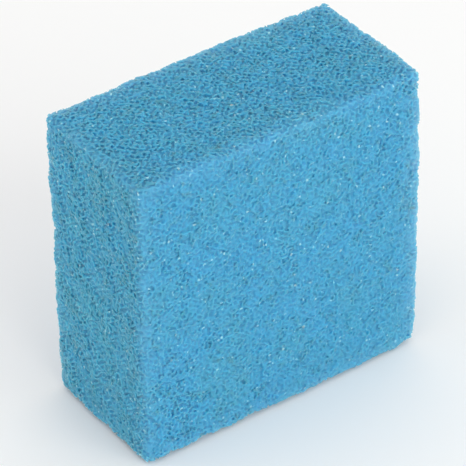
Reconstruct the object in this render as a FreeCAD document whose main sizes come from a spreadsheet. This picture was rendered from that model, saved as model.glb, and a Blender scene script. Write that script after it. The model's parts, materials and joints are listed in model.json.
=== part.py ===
"""A square block of open-cell filter foam, cut to fill the basket of a small aquarium filter.

X is the block's width, Y its thickness, the way the water flows, and Z its height.
The origin is the middle of the narrow face that the block stands on.
"""
import FreeCAD, Part
import Sketcher
import os

# Driving sizes, in millimetres.
SIZES = {
    "block_width": 100.0,
    "block_thickness": 48.4,
    "block_height": 100.0,
    "edge_rounding": 2.5,
}

# How a sketch constraint names the ends of a line, and the sketch's own origin point.
LINE_START = 1
LINE_END = 2
SKETCH_AXES = -1
AXES_CROSSING = 1


def make_sheet(doc):
    """Write the driving sizes into the spreadsheet, each in a cell with its own alias."""
    sheet = doc.addObject("Spreadsheet::Sheet", "Sizes")
    for row, (alias, value) in enumerate(SIZES.items(), start=1):
        sheet.set(f"A{row}", alias)
        sheet.set(f"B{row}", str(value))
        sheet.setAlias(f"B{row}", alias)
    doc.recompute()


def origin_plane(body, role):
    """Find one of the body's own origin planes by its role."""
    return next(plane for plane in body.Origin.OriginFeatures if plane.Role == role)


def bind_length(sketch, line, alias):
    """Give a line of the sketch a length that follows a cell of the sheet."""
    number = sketch.addConstraint(Sketcher.Constraint("Distance", line, SIZES[alias]))
    sketch.renameConstraint(number, alias)
    sketch.setExpression(f"Constraints.{alias}", f"Sizes.{alias}")


def draw_centred_rectangle(sketch, width_alias, depth_alias):
    """Draw a rectangle centred on the sketch's origin, its two sides bound to the sheet."""
    half_width = SIZES[width_alias] / 2
    half_depth = SIZES[depth_alias] / 2
    corners = [
        FreeCAD.Vector(-half_width, -half_depth, 0),
        FreeCAD.Vector(half_width, -half_depth, 0),
        FreeCAD.Vector(half_width, half_depth, 0),
        FreeCAD.Vector(-half_width, half_depth, 0),
    ]
    next_corners = corners[1:] + corners[:1]
    near, right, far, left = [
        sketch.addGeometry(Part.LineSegment(start, end), False)
        for start, end in zip(corners, next_corners)
    ]

    for line, following in ((near, right), (right, far), (far, left), (left, near)):
        joined = Sketcher.Constraint("Coincident", line, LINE_END, following, LINE_START)
        sketch.addConstraint(joined)
    for line in (near, far):
        sketch.addConstraint(Sketcher.Constraint("Horizontal", line))
    for line in (right, left):
        sketch.addConstraint(Sketcher.Constraint("Vertical", line))
    centred = Sketcher.Constraint(
        "Symmetric", near, LINE_START, far, LINE_START, SKETCH_AXES, AXES_CROSSING
    )
    sketch.addConstraint(centred)
    bind_length(sketch, near, width_alias)
    bind_length(sketch, right, depth_alias)


def make_foam_block(doc):
    """The block: its outline padded upwards, with every edge eased as soft cut foam's is."""
    body = doc.addObject("PartDesign::Body", "FoamBlock")
    body.Label = "foam_block"

    outline = body.newObject("Sketcher::SketchObject", "Outline")
    outline.AttachmentSupport = (origin_plane(body, "XY_Plane"), [""])
    outline.MapMode = "FlatFace"
    draw_centred_rectangle(outline, "block_width", "block_thickness")

    cut_block = body.newObject("PartDesign::Pad", "CutBlock")
    cut_block.Profile = outline
    cut_block.setExpression("Length", "Sizes.block_height")
    doc.recompute()

    eased_edges = body.newObject("PartDesign::Fillet", "EasedEdges")
    eased_edges.Base = (cut_block, [""])
    eased_edges.UseAllEdges = True
    eased_edges.setExpression("Radius", "Sizes.edge_rounding")

    body.Placement = FreeCAD.Placement()
    return body


def check(doc, pieces):
    """Stop before anything is written if an object failed or a piece isn't a sound solid."""
    for item in doc.Objects:
        if "Invalid" in item.State or "Error" in item.State:
            raise RuntimeError(f"{item.Name} did not recompute: {item.State}")
    for piece in pieces:
        if piece.Shape.isNull() or not piece.Shape.isValid():
            raise RuntimeError(f"{piece.Label} is not a sound shape")


def main():
    doc = FreeCAD.newDocument("FilterFoam")
    make_sheet(doc)
    pieces = [make_foam_block(doc)]
    doc.recompute()
    check(doc, pieces)

    os.makedirs("parts", exist_ok=True)
    for piece in pieces:
        piece.Shape.exportStep(f"parts/{piece.Label}.step")
        box = piece.Shape.BoundBox
        faces = len(piece.Shape.Faces)
        print(f"{piece.Label}: {box.XLength:.2f} x {box.YLength:.2f} x {box.ZLength:.2f} mm")
        print(f"{piece.Label}: {piece.Shape.Volume:.0f} mm3, {faces} faces")


main()
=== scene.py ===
# %% [markdown]
# # A block of aquarium filter sponge
# The object is one thick slab of blue open-cell foam, cut from a bigger bun
# with a hot wire. Water is pulled through it, so it is a net of fine struts
# with nothing between them. All of its character is in that net: small round
# cells, cut open by the six faces, on a body that is a little soft and uneven.
#
# The lesson loads the measured block, sets up the camera and the light, makes
# a blank by hand, turns the blank into foam, and paints it.

import json
import math

import bpy
import numpy as np
import openvdb
from mathutils import Euler, Matrix, Vector

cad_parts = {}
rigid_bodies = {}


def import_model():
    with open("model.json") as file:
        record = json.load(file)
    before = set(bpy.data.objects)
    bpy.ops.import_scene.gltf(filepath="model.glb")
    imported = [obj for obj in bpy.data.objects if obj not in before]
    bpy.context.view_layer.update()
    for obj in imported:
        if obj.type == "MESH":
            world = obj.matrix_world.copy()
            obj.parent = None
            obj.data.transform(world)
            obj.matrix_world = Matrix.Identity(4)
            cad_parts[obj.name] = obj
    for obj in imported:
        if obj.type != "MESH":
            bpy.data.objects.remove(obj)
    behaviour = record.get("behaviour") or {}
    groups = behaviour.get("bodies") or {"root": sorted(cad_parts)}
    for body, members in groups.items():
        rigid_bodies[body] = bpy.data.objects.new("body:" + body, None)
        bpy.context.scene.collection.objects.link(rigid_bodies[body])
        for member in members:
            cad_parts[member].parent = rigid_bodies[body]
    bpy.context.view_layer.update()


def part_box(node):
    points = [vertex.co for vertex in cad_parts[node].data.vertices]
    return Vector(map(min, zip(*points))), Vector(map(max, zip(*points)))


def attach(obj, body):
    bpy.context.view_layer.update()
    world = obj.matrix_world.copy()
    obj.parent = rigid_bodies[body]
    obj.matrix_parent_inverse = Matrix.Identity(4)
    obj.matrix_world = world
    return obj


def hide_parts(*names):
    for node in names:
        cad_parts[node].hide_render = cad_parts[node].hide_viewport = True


MM = 0.001

for left_over in list(bpy.data.objects):
    bpy.data.objects.remove(left_over)
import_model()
low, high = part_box("foam_block")
WIDTH, THICKNESS, HEIGHT = high - low
CENTRE = (low + high) / 2
print("block", [round(v / MM, 2) for v in (WIDTH, THICKNESS, HEIGHT)], "mm")

# %% [markdown]
# ## Where to look from
# The block stands on one of its narrow faces and is seen from the front, from
# its left and from above. A camera can be turned by hand until it looks right,
# but an angle round the block, an angle above the floor and a slight tilt are
# easier to keep and to change. Three directions are worked out from those:
# towards the camera, to its right, and up.

# %% Directions
AROUND, ABOVE, TILT = math.radians(-35.35), math.radians(37.2), math.radians(-0.8)

towards = Vector(
    (
        math.sin(AROUND) * math.cos(ABOVE),
        -math.cos(AROUND) * math.cos(ABOVE),
        math.sin(ABOVE),
    )
)
level_right = Vector((math.cos(AROUND), math.sin(AROUND), 0))
level_up = towards.cross(level_right)
right = math.cos(TILT) * level_right + math.sin(TILT) * level_up
up = math.cos(TILT) * level_up - math.sin(TILT) * level_right
print("towards the camera", [round(v, 3) for v in towards])

# %% [markdown]
# ## The camera
# A long lens from a metre away keeps the upright edges almost parallel, which
# makes a small thing look small. The camera is moved a little to its left and
# down, so that the block sits well in the frame. Its matrix is the three
# directions side by side, with its place added.

# %% Camera
AWAY = 1.0
MOVED_LEFT, MOVED_DOWN = 1.1 * MM, 0.6 * MM
SENSOR_MM, LENS_MM = 36, 265.3

camera = bpy.data.objects.new("camera", bpy.data.cameras.new("camera"))
bpy.context.scene.collection.objects.link(camera)
stands_at = CENTRE + AWAY * towards - MOVED_LEFT * right - MOVED_DOWN * up
turned = Matrix((right, up, towards)).transposed().to_4x4()
camera.matrix_world = Matrix.Translation(stands_at) @ turned
camera.data.sensor_width = SENSOR_MM
camera.data.lens = LENS_MM
bpy.context.scene.camera = camera
print("camera stands", AWAY, "m away with a", LENS_MM, "mm lens")

# %% [markdown]
# ## The table
# The sponge stands on a plain, nearly white table, which is one large plane at
# the height of its base. The white is a little warm, so that it looks neutral
# under light that is a little cool. An operator acts on all that is selected,
# so everything is deselected before a primitive is added.


# %% Floor
def select_nothing():
    bpy.ops.object.select_all(action="DESELECT")


FLOOR_SIZE = 6
WARM_WHITE = (0.99, 0.965, 0.95, 1)

select_nothing()
bpy.ops.mesh.primitive_plane_add(size=FLOOR_SIZE, location=(0, 0, low.z))
floor = bpy.context.object
floor.name = "studio_floor"
floor_paint = bpy.data.materials.new("white_table")
floor_paint.use_nodes = True
floor_shader = floor_paint.node_tree.nodes["Principled BSDF"]
floor_shader.inputs["Base Color"].default_value = WARM_WHITE
floor_shader.inputs["Roughness"].default_value = 0.9
floor.data.materials.append(floor_paint)
print("floor", FLOOR_SIZE, "m wide, at height", round(low.z, 4))

# %% [markdown]
# ## The light
# Foam is read by its small shadows. Light from everywhere, as in a soft box,
# keeps them from going black. One large lamp in front, a little above, fills
# the front evenly and only grazes the top and the left end, so their cells look
# deeper there. A weak warm lamp at the left takes the chill off that end.


# %% Sky and lamps
def area_lamp(name, place, size, power, colour):
    lamp = bpy.data.objects.new(name, bpy.data.lights.new(name, "AREA"))
    bpy.context.scene.collection.objects.link(lamp)
    lamp.data.size, lamp.data.energy, lamp.data.color = size, power, colour
    lamp.location = place
    lamp.rotation_euler = (CENTRE - lamp.location).to_track_quat("-Z", "Y").to_euler()


sky = bpy.data.worlds.new("soft_box")
sky.use_nodes = True
background = sky.node_tree.nodes["Background"]
background.inputs["Color"].default_value = (0.97, 0.99, 1.0, 1)
background.inputs["Strength"].default_value = 0.91
bpy.context.scene.world = sky
area_lamp(
    "front_lamp", place=(0.2, -1.6, 0.8), size=1.5, power=11.3, colour=(0.92, 1.0, 0.98)
)
area_lamp(
    "warm_left_lamp", place=(-1.3, 0.1, 0.5), size=2.5, power=1.2, colour=(1.0, 0.55, 0.4)
)
bpy.context.scene.view_settings.view_transform = "Standard"

# %% [markdown]
# ## The blank: a true slab
# The real slab was cut from a bun, so it has flat faces and slightly eased
# edges. By hand that is a cube at the size and place of the measured block,
# with its scale applied and all of its edges bevelled at once in edit mode.

# %% Make the blank
EDGE_ROUNDING = 2.5 * MM
BEVEL_STEPS = 4

select_nothing()
bpy.ops.mesh.primitive_cube_add(size=1, location=CENTRE)
sponge = bpy.context.object
sponge.name = "filter_sponge"
sponge.scale = (WIDTH, THICKNESS, HEIGHT)
bpy.ops.object.transform_apply(location=True, rotation=True, scale=True)
bpy.ops.object.mode_set(mode="EDIT")
bpy.ops.mesh.select_all(action="SELECT")
bpy.ops.mesh.bevel(
    offset=EDGE_ROUNDING, segments=BEVEL_STEPS, profile=0.5, affect="EDGES"
)
bpy.ops.object.mode_set(mode="OBJECT")
print("blank", len(sponge.data.polygons), "faces")

# %% [markdown]
# ## The blank: soft and uneven
# Nothing about cut foam is perfectly true. A voxel remesh gives the blank small
# even faces all over, smoothing eases its corners, and three displacements, each
# of less than a millimetre, move its skin: a long bow, a short wave, and a fine
# unevenness that shows as a slightly rough outline. Their middle level is above
# a half, so they push inwards more than outwards and the sponge keeps its size.


# %% Ease it and make it uneven
def finish_with(piece, kind, **settings):
    step = piece.modifiers.new(kind.lower(), kind)
    for key, value in settings.items():
        setattr(step, key, value)
    bpy.ops.object.modifier_apply(modifier=step.name)


def clouds(name, size, depth):
    texture = bpy.data.textures.new(name, "CLOUDS")
    texture.noise_scale, texture.noise_depth = size, depth
    return texture


MORE_INWARDS = 0.7

finish_with(sponge, "REMESH", mode="VOXEL", voxel_size=1.0 * MM)
finish_with(sponge, "SMOOTH", factor=0.5, iterations=6)
for name, size, depth, strength in (
    ("long_bow", 38 * MM, 0, 1.3 * MM),
    ("short_wave", 8 * MM, 1, 1.1 * MM),
    ("fine_wave", 3.2 * MM, 0, 0.7 * MM),
):
    finish_with(
        sponge, "DISPLACE", texture=clouds(name, size, depth),
        texture_coords="LOCAL", strength=strength, mid_level=MORE_INWARDS,
    )
print("uneven blank", len(sponge.data.polygons), "faces")

# %% [markdown]
# ## How deep is each point?
# Foam has far too many cells to model one by one, so it is worked out on a grid
# of small cubes round the blank, as a field: a number at each grid point, above
# zero inside the foam and below zero in the air. The first field is the depth
# below the blank's skin. OpenVDB, which comes with Blender, turns the blank's
# triangles into that depth. Only points near the skin matter, because nobody
# sees the middle of a sponge.

# %% Depth field
GRID = 0.4 * MM
OPEN_DEPTH = 0.83 * MM
SPARE_CUBES = 4

points = np.empty(len(sponge.data.vertices) * 3, np.float32)
sponge.data.vertices.foreach_get("co", points)
sponge.data.calc_loop_triangles()
corners = np.empty(len(sponge.data.loop_triangles) * 3, np.int32)
sponge.data.loop_triangles.foreach_get("vertices", corners)
spacing = openvdb.createLinearTransform(voxelSize=GRID)
skin_grid = openvdb.FloatGrid.createLevelSetFromPolygons(
    points.reshape(-1, 3),
    triangles=corners.reshape(-1, 3).astype(np.uint32),
    transform=spacing,
    halfWidth=OPEN_DEPTH / GRID + 2,
)
first = np.floor(np.array(low) / GRID).astype(int) - SPARE_CUBES
last = np.ceil(np.array(high) / GRID).astype(int) + SPARE_CUBES
grid_start = tuple(int(i) for i in first)
depth = np.zeros(tuple(last - first + 1), np.float32)
skin_grid.copyToArray(depth, ijk=grid_start)
depth = -depth
print("grid", depth.shape, "deepest", round(float(depth.max()) / MM, 2), "mm")

# %% [markdown]
# ## A flat base
# The uneven skin would leave the sponge rocking on a few points, and a real one
# settles flat. So no point may be deeper than its own height above the table,
# which slices the base off level.

# %% Slice the base
above_table = (np.arange(depth.shape[2]) + first[2]) * GRID - low.z
depth = np.minimum(depth, above_table[None, None, :].astype(np.float32))
print("grid runs", (above_table[[0, -1]] / MM).round(1), "mm above the table")

# %% [markdown]
# ## The bubbles
# Foam starts as a froth. Each bubble grows from one point until it meets its
# neighbours, and pushes them into an even packing. A point in the middle of
# every cube of a cubic lattice, besides the corners, packs bubbles that way.
# The lattice is turned away from the block, or its rows would show as a weave
# on the faces, and every point is moved at random, because a froth is never
# regular. The random numbers have a fixed seed, so the sponge is always the same.

# %% Bubble centres
CELL = 1.7 * MM
UNEVEN = 0.5
SEED = 7
LATTICE_ANGLES = (0.4, 0.7, 0.2)
LATTICE_SPARE = 5 * MM

dice = np.random.default_rng(SEED)
lattice_turn = np.array(Euler(LATTICE_ANGLES).to_matrix(), np.float32)
lattice_reach = (high - low).length / 2 + LATTICE_SPARE


def bubble_centres(shift):
    steps = np.arange(int(2 * lattice_reach / CELL) + 2)
    cube = np.stack(np.meshgrid(steps, steps, steps, indexing="ij"), -1)
    cube = cube.astype(np.float32)
    moved = (dice.random(cube.shape, dtype=np.float32) - 0.5) * UNEVEN
    return (cube + 0.5 + shift + moved) * CELL - lattice_reach


corner_bubbles, middle_bubbles = bubble_centres(0.0), bubble_centres(0.5)
print("bubbles", corner_bubbles.size // 3 + middle_bubbles.size // 3)

# %% [markdown]
# ## Where the struts run
# Where three bubbles press together they leave a thin strut, and in this
# foam only the struts are left. At such a place the third nearest bubble centre
# is hardly further than the nearest, so that difference says how near a point
# is to a strut. Blender's Voronoi node has two of these distances but not the
# third, so they are worked out here, from the 27 neighbours in each lattice.


# %% Distances to the three nearest bubbles
FAR_OFF = 9.0


def nearest_three(place):
    place = (place - np.array(CENTRE, np.float32)) @ lattice_turn
    best = np.full((3, len(place)), FAR_OFF, np.float32)
    for centres, shift in ((corner_bubbles, 0.0), (middle_bubbles, 0.5)):
        home = np.floor((place + lattice_reach) / CELL - shift).astype(np.int32)
        top = np.array(centres.shape[:3]) - 1
        for step in np.ndindex(3, 3, 3):
            i, j, k = np.clip(home + np.array(step) - 1, 0, top).T
            away = centres[i, j, k] - place
            away = np.sqrt(np.einsum("ij,ij->i", away, away))
            second = np.maximum(best[0], away)
            best[0] = np.minimum(best[0], away)
            third = np.maximum(best[1], second)
            best[1] = np.minimum(best[1], second)
            best[2] = np.minimum(best[2], third)
    return best


# %% [markdown]
# ## Only near the skin
# The three distances are needed only where the net can be: from just outside
# the skin to just below the open layer. That is still over a million points, so
# they are taken in parts, which keeps the memory small.

# %% Measure near the skin
JUST_PAST = 1.5 * GRID
PARTS = 16

near_skin = (depth > -JUST_PAST) & (depth < OPEN_DEPTH + JUST_PAST)
place = ((np.argwhere(near_skin) + first) * GRID).astype(np.float32)
reach = np.concatenate([nearest_three(p) for p in np.array_split(place, PARTS)], 1)
print("grid points near the skin", len(place))

# %% [markdown]
# ## How far the net is open
# A real sponge is open to its middle, but from outside only the first cells can
# be told apart, so the net is open to less than a millimetre, over a core that
# is solid. It is shallower near the edges of the block, where cutting and
# handling press the cells shut, and on the two wide faces, which look finer and
# flatter than the ends and the top.


# %% Open depth
def off_sides(place):
    from_low, from_high = place - np.array(low), np.array(high) - place
    return np.minimum(from_low, from_high), (from_high < from_low).astype(int)


RUBBED_REACH = 5 * MM
LESS_AT_EDGES = 0.3
WIDE_FACE_REACH = 1.5 * MM
SHARE_ON_WIDE_FACES = 0.75

to_side = off_sides(place)[0]
to_edge = np.sort(to_side, axis=1)[:, 1]
rubbed = np.clip(1 - to_edge / RUBBED_REACH, 0, 1)
open_here = OPEN_DEPTH * (1 - LESS_AT_EDGES * rubbed)
open_here[to_side[:, 1] < WIDE_FACE_REACH] *= SHARE_ON_WIDE_FACES
shallow, deep = open_here.min() / MM, open_here.max() / MM
print("open to between", shallow.round(2), "and", deep.round(2), "mm")

# %% [markdown]
# ## Cut the foam out
# The struts are kept wherever they are inside the blank, which cuts them off
# flush at its faces, as a wire does, and below the open layer all is kept. The
# smaller of two fields is what is solid in both, and the larger is what is
# solid in either. OpenVDB then walks over the result and makes four-sided faces
# where it passes zero, and each of those is split into two triangles.

# %% Field to faces
STRUT = 0.25
STRUT_SLOPE = 0.6
AIR = 3 * GRID

strut = (STRUT * CELL - (reach[2] - reach[0])) * STRUT_SLOPE
inside = depth[near_skin]
net_or_core = np.maximum(strut, inside - open_here)
foam = np.clip(depth, -AIR, AIR)
foam[near_skin] = np.clip(np.minimum(inside, net_or_core), -AIR, AIR)
foam_grid = openvdb.FloatGrid()
foam_grid.background = -AIR
foam_grid.transform = spacing
foam_grid.copyFromArray(foam, ijk=grid_start)
points, _, quads = foam_grid.convertToPolygons(isovalue=0.0, adaptivity=0.0)
quads = quads.astype(np.int64)[:, ::-1]
faces = np.concatenate((quads[:, [0, 1, 2]], quads[:, [0, 2, 3]]))
print("faces", len(faces))

# %% [markdown]
# ## Sweep off the crumbs
# The cut leaves loose crumbs: scraps of strut that touch nothing. A real sponge
# loses them in its first rinse. Each point takes the lowest number among the
# points that it shares a face with, again and again, until every connected
# scrap has one number, and scraps with few faces are dropped.

# %% Drop loose crumbs
CRUMB = 200


def scrap_numbers(faces, count):
    number = np.arange(count)
    while True:
        lowest = number[faces].min(1)
        new = number.copy()
        for k in range(3):
            np.minimum.at(new, faces[:, k], lowest)
        new = new[new]
        if (new == number).all():
            return number
        number = new


number = scrap_numbers(faces, len(points))[faces[:, 0]]
faces_in_scrap = np.bincount(number, minlength=len(points))
faces = faces[faces_in_scrap[number] >= CRUMB]
used = np.zeros(len(points), bool)
used[faces] = True
points = points[used].astype(np.float32)
faces = (np.cumsum(used) - 1)[faces].astype(np.int32)
print("kept", len(faces), "faces of", len(number))

# %% [markdown]
# ## Give the foam to the sponge
# The blank has done its work, and the net takes its place in the same object.
# Blender can build a mesh from a plain list, but for a million faces that is
# slow, so whole arrays are handed over at once. Smooth shading rounds the
# struts. A closed mesh whose faces look outwards has a volume above zero, which
# is a quick test that the net isn't inside out.

# %% Net into mesh
mesh = bpy.data.meshes.new("filter_sponge")
mesh.vertices.add(len(points))
mesh.vertices.foreach_set("co", points.ravel())
mesh.loops.add(faces.size)
mesh.loops.foreach_set("vertex_index", faces.ravel())
mesh.polygons.add(len(faces))
mesh.polygons.foreach_set("loop_start", np.arange(0, faces.size, 3, dtype=np.int32))
mesh.update(calc_edges=True)
mesh.polygons.foreach_set("use_smooth", np.ones(len(faces), bool))
sponge.data = mesh
sides = points[faces]
across = np.cross(sides[:, 1], sides[:, 2])
volume = np.einsum("ij,ij->i", sides[:, 0], across).sum() / 6
print("volume", round(float(volume) * 1e6, 1), "cm3")

# %% [markdown]
# ## What the paint needs to know: depth
# The floors of the cells get a painted shade, a slightly deeper colour than the
# struts above them. How deep each point lies is read from the depth field once
# and kept on the mesh as a named attribute, which a material can read.


# %% Attribute how_deep
def keep_on_mesh(name, values):
    layer = mesh.attributes.new(name, "FLOAT", "POINT")
    layer.data.foreach_set("value", values.astype(np.float32))
    print(name, "mean", round(float(values.mean()), 3))


cube = np.round(points / GRID).astype(int) - first
cube = np.clip(cube, 0, np.array(depth.shape) - 1)
how_deep = np.clip(depth[tuple(cube.T)] / OPEN_DEPTH, 0, 1)
keep_on_mesh("how_deep", how_deep)

# %% [markdown]
# ## What the paint needs to know: worn edges with painted backlight
# At an edge the net is thin and handling rubs it, so it is painted pale and a
# little grey. Part of that is wear, and part is painted light that comes through
# the thin net from behind. The far edges, with the bright room behind them, are
# the palest, and that extra paleness is painted light. A table says how pale
# each edge is, and the effect fades within a few millimetres.

# %% Attribute worn_and_backlit_edge
PALE_REACH = 2.8 * MM
# Each pair of axes has four edges: first the two on the low side of the first
# axis, then the two on its high side, each on the low and high side of the second.
# How pale each edge is: wear on all of them, and painted backlight that is strongest on
# the far edges.
PALE = {
    (0, 1): ((0.14, 0.35), (0.55, 0.40)),
    (1, 2): ((0.25, 0.15), (0.30, 0.55)),
    (0, 2): ((0.12, 0.15), (0.30, 0.55)),
}


def pale_at(place):
    to_side, on_high_side = off_sides(place)
    pale = np.zeros(len(place))
    for (a, b), levels in PALE.items():
        level = np.array(levels)[on_high_side[:, a], on_high_side[:, b]]
        to_edge = np.maximum(to_side[:, a], to_side[:, b])
        pale = np.maximum(pale, level * np.exp(-to_edge / PALE_REACH))
    return pale


keep_on_mesh("worn_and_backlit_edge", pale_at(points))

# %% [markdown]
# ## Unwrap it like a box
# A model that leaves Blender carries its colours on a flat sheet, and Blender's
# own unwraps would cut this net into a million scraps. Each face is laid flat
# instead on the side of the block that it is nearest to. The outer struts and
# the floors of the cells get separate patches, so the painted shade of a pit
# never lands on the strut above it.

# %% Places on the sheet
GAP = 2 * MM
ax, ay, az = (float(v) for v in (WIDTH, THICKNESS, HEIGHT))
SHEET = 2 * ax + 2 * ay + 5 * GAP
# the axes that run across and up a patch, for low and high x, y and z
RUNS = ([1, 2], [1, 2], [0, 2], [0, 2], [0, 1], [0, 1])


def patch_starts(inner):
    row = inner * (az + GAP)
    short_row = 2 * (az + GAP) + inner * (ay + GAP)
    return (
        (GAP, row), (2 * GAP + ay, row),
        (3 * GAP + 2 * ay, row), (4 * GAP + 2 * ay + ax, row),
        (GAP, short_row), (2 * GAP + ax, short_row),
    )


print("sheet", round(SHEET / MM, 1), "mm wide, for", 2 * len(RUNS), "patches")

# %% [markdown]
# ## Lay the faces on the sheet
# Every face finds the side that it is nearest to and whether it is a strut or
# the floor of a cell. It keeps its two distances along that side and is moved
# to its own patch.

# %% Box unwrap
FLOOR_OF_CELL = 0.45

middle = sides.mean(1)
to_sides = np.stack((middle - np.array(low), np.array(high) - middle), -1)
nearest_side = to_sides.reshape(-1, 6).argmin(1)
is_floor = how_deep[faces].mean(1) > FLOOR_OF_CELL
block_corner = np.array(low, np.float32)
lift = np.array((0, GAP), np.float32)
uv = np.zeros((len(faces), 3, 2), np.float32)
for inner in (0, 1):
    for side, (run, start) in enumerate(zip(RUNS, patch_starts(inner))):
        pick = (nearest_side == side) & (is_floor == bool(inner))
        flat = sides[pick][:, :, run] - block_corner[run]
        uv[pick] = (flat + np.array(start, np.float32) + lift) / SHEET
unwrap = mesh.uv_layers.new(name="OFBake")
unwrap.data.foreach_set("uv", uv.ravel())
print("unwrap from", uv.min().round(3), "to", uv.max().round(3))

# %% [markdown]
# ## The blue of the foam
# The paint is a chain of small groups of nodes, and each group mixes into the
# colour before it. Nodes can be placed by hand, but the same few come up again
# and again, so short helpers add them: any node with its inputs, noise at so
# many waves to the metre, and a value stored on the mesh. Every pattern reads
# Object coordinates or an attribute, so it stays in its place on the sponge.

# %% Helpers for nodes
foam_paint = bpy.data.materials.new("blue_filter_foam")
foam_paint.use_nodes = True
tree = foam_paint.node_tree
shader = tree.nodes["Principled BSDF"]
where = tree.nodes.new("ShaderNodeTexCoord").outputs["Object"]


def node(kind, inputs, **settings):
    made = tree.nodes.new(kind)
    for key, value in settings.items():
        setattr(made, key, value)
    for socket, source in inputs.items():
        if isinstance(source, bpy.types.NodeSocket):
            tree.links.new(source, made.inputs[socket])
        else:
            made.inputs[socket].default_value = source
    return made


def noise(per_metre, detail):
    inputs = {"Vector": where, "Scale": per_metre, "Detail": detail, "Roughness": 0.5}
    return node("ShaderNodeTexNoise", inputs).outputs["Fac"]


def stored(name):
    return node("ShaderNodeAttribute", {}, attribute_name=name).outputs["Fac"]


print("paint starts with", len(tree.nodes), "nodes")

# %% [markdown]
# ## Ramps and blends
# A ramp turns a value into a colour, from stop to stop. A blend mixes one colour
# over another. Multiplying by a ramp that stays near one shades a colour without
# replacing it.


# %% Helpers for colour
def ramp(value, *stops):
    made = node("ShaderNodeValToRGB", {"Fac": value})
    marks = made.color_ramp.elements
    for mark, (position, colour) in zip(marks, (stops[0], stops[-1])):
        mark.position, mark.color = position, (*colour, 1)
    for position, colour in stops[1:-1]:
        marks.new(position).color = (*colour, 1)
    return made.outputs["Color"]


def grey_ramp(value, *stops):
    return ramp(value, *((position, (level,) * 3) for position, level in stops))


# when a Mix node mixes colours, its amount is input 0 and its colours are 6 and 7
def blend(how, amount, under, over):
    inputs = {0: amount, 6: under, 7: over}
    made = node("ShaderNodeMix", inputs, data_type="RGBA", blend_type=how)
    return made.outputs[2]


print("helpers:", [helper.__name__ for helper in (ramp, grey_ramp, blend)])

# %% [markdown]
# ## Uneven dye, and painted shade in the cells
# Dyed foam is never one blue. Slow patches are a little bluer or a little
# greener, and each strut is a little lighter or darker. The floors of the cells
# get a touch less red than the struts, as painted shade for the pits.

# %% Patches, struts and painted shade on cell floors
patches = ramp(
    noise(per_metre=70, detail=2),
    (0.34, (0.046, 0.327, 0.562)),
    (0.50, (0.048, 0.330, 0.550)),
    (0.66, (0.054, 0.338, 0.535)),
)
by_strut = grey_ramp(noise(per_metre=650, detail=1), (0.3, 0.93), (0.7, 1.05))
colour = blend("MULTIPLY", 1.0, patches, by_strut)
# Painted shade: the deeper a point lies in its cell, the less red it gets.
painted_shade_by_depth = ramp(stored("how_deep"), (0.25, (1, 1, 1)), (0.95, (0.96, 1.0, 1.0)))
colour = blend("MULTIPLY", 1.0, colour, painted_shade_by_depth)
print("paint nodes so far", len(tree.nodes))

# %% [markdown]
# ## The ends and the edges
# The left end is painted a little greener than the rest, a painted tint for the
# warm light on that end, so the blue is turned down over the last few
# millimetres there. The stored pale edges, partly wear and partly painted light
# from behind, are broken up by noise, because a clean pale line would look like
# paint, and they fade the colour towards a greyer blue.

# %% Greener end and pale edges
WARM_TINT_REACH = 8 * MM
# The colour of the edges: wear, and painted light from behind.
WORN_AND_BACKLIT_BLUE = (0.36, 0.55, 0.67, 1)

# Painted light: the left end is tinted a little greener, for the warm light that falls on
# it.
along = node("ShaderNodeSeparateXYZ", {"Vector": where}).outputs["X"]
off_end = node(
    "ShaderNodeMapRange",
    {"Value": along, "From Min": low.x, "From Max": low.x + WARM_TINT_REACH},
)
greener = ramp(off_end.outputs[0], (0.0, (1, 0.99, 0.95)), (1.0, (1, 1, 1)))
colour = blend("MULTIPLY", 1.0, colour, greener)
# Pale edges: partly wear, partly painted light from behind, broken up by noise.
broken_up = grey_ramp(noise(per_metre=260, detail=2), (0.3, 0.6), (0.7, 1.4))
edge = blend("MULTIPLY", 1.0, stored("worn_and_backlit_edge"), broken_up)
colour = blend("MIX", edge, colour, WORN_AND_BACKLIT_BLUE)
print("paint nodes so far", len(tree.nodes))

# %% [markdown]
# ## Films with a painted glint
# Here and there the last film of a bubble is left in its cell, and its glint is
# painted into the colour as a pale spot. A Voronoi pattern gives every cell a
# random number, and only the few highest become pale. Each film is a small round
# spot of painted highlight, and only the outer struts have them, because a film
# deeper down gets no light to catch.

# %% Films with a painted glint
FILMS_PER_METRE = 900.0
PAINTED_GLINT_STRENGTH = 0.65
# The pale of a film is a painted highlight, the glint that it would catch.
PAINTED_GLINT_PALE = (0.45, 0.80, 0.88, 1)

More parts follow.
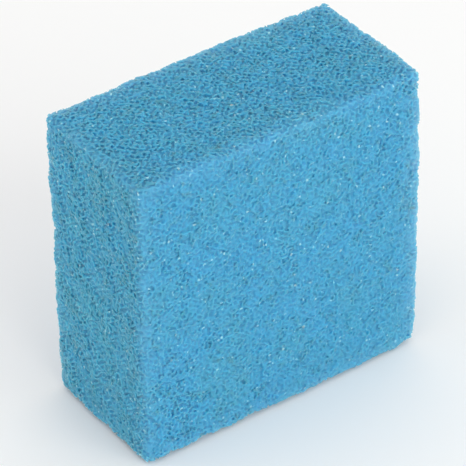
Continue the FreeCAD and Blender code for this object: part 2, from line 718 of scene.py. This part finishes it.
films = node("ShaderNodeTexVoronoi", {"Vector": where, "Scale": FILMS_PER_METRE})
lucky = node("ShaderNodeSeparateColor", {"Color": films.outputs["Color"]}).outputs[0]
film_and_painted_glint = grey_ramp(lucky, (0.90, 0.0), (0.97, 1.0))
spot = grey_ramp(films.outputs["Distance"], (0.30, 1.0), (0.50, 0.0))
film_and_painted_glint = blend("MULTIPLY", 1.0, film_and_painted_glint, spot)
outer = grey_ramp(stored("how_deep"), (0.2, 1.0), (0.5, 0.0))
film_and_painted_glint = blend("MULTIPLY", 1.0, film_and_painted_glint, outer)
painted_glint_amount = node("ShaderNodeMath", {0: film_and_painted_glint, 1: PAINTED_GLINT_STRENGTH}, operation="MULTIPLY")
# Painted highlight: the few films are mixed towards pale.
colour = blend("MIX", painted_glint_amount.outputs[0], colour, PAINTED_GLINT_PALE)
tree.links.new(colour, shader.inputs["Base Color"])
print("paint nodes so far", len(tree.nodes))

# %% [markdown]
# ## Gloss and grain
# Foam is matt with a slight sheen that changes from strut to strut, and its
# films are smoother. A very fine bump gives the skin of each strut its grain.
# It is far too small to model, which is what a bump is for: the cells
# themselves are real geometry.

# %% Roughness and bump
FILM_ROUGHNESS = 0.22
GRAIN_HEIGHT = 0.08 * MM

roughness = grey_ramp(noise(per_metre=420, detail=2), (0.3, 0.46), (0.7, 0.70))
roughness = blend("MIX", film_and_painted_glint, roughness, (*(FILM_ROUGHNESS,) * 3, 1))
tree.links.new(roughness, shader.inputs["Roughness"])
grain = node(
    "ShaderNodeBump",
    {
        "Height": noise(per_metre=2400, detail=2),
        "Strength": 0.25,
        "Distance": GRAIN_HEIGHT,
    },
)
tree.links.new(grain.outputs["Normal"], shader.inputs["Normal"])
print("paint nodes", len(tree.nodes))

# %% [markdown]
# ## Light inside the struts
# Light goes into a strut and comes out a little further on, which is why foam
# glows softly and its pits aren't black. Subsurface scattering does that. Blue
# goes furthest and red least, so light that has been inside comes out bluer.

# %% Subsurface
shader.inputs["Subsurface Weight"].default_value = 1.0
shader.inputs["Subsurface Radius"].default_value = (0.5, 0.9, 1.0)
shader.inputs["Subsurface Scale"].default_value = 4.0 * MM
shader.inputs["Specular IOR Level"].default_value = 0.5
mesh.materials.append(foam_paint)
print("painted with", mesh.materials[0].name)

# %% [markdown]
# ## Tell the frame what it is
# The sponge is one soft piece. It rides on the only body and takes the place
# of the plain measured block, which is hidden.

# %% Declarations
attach(sponge, "root")
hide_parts("foam_block")
print("declared", sponge.name)
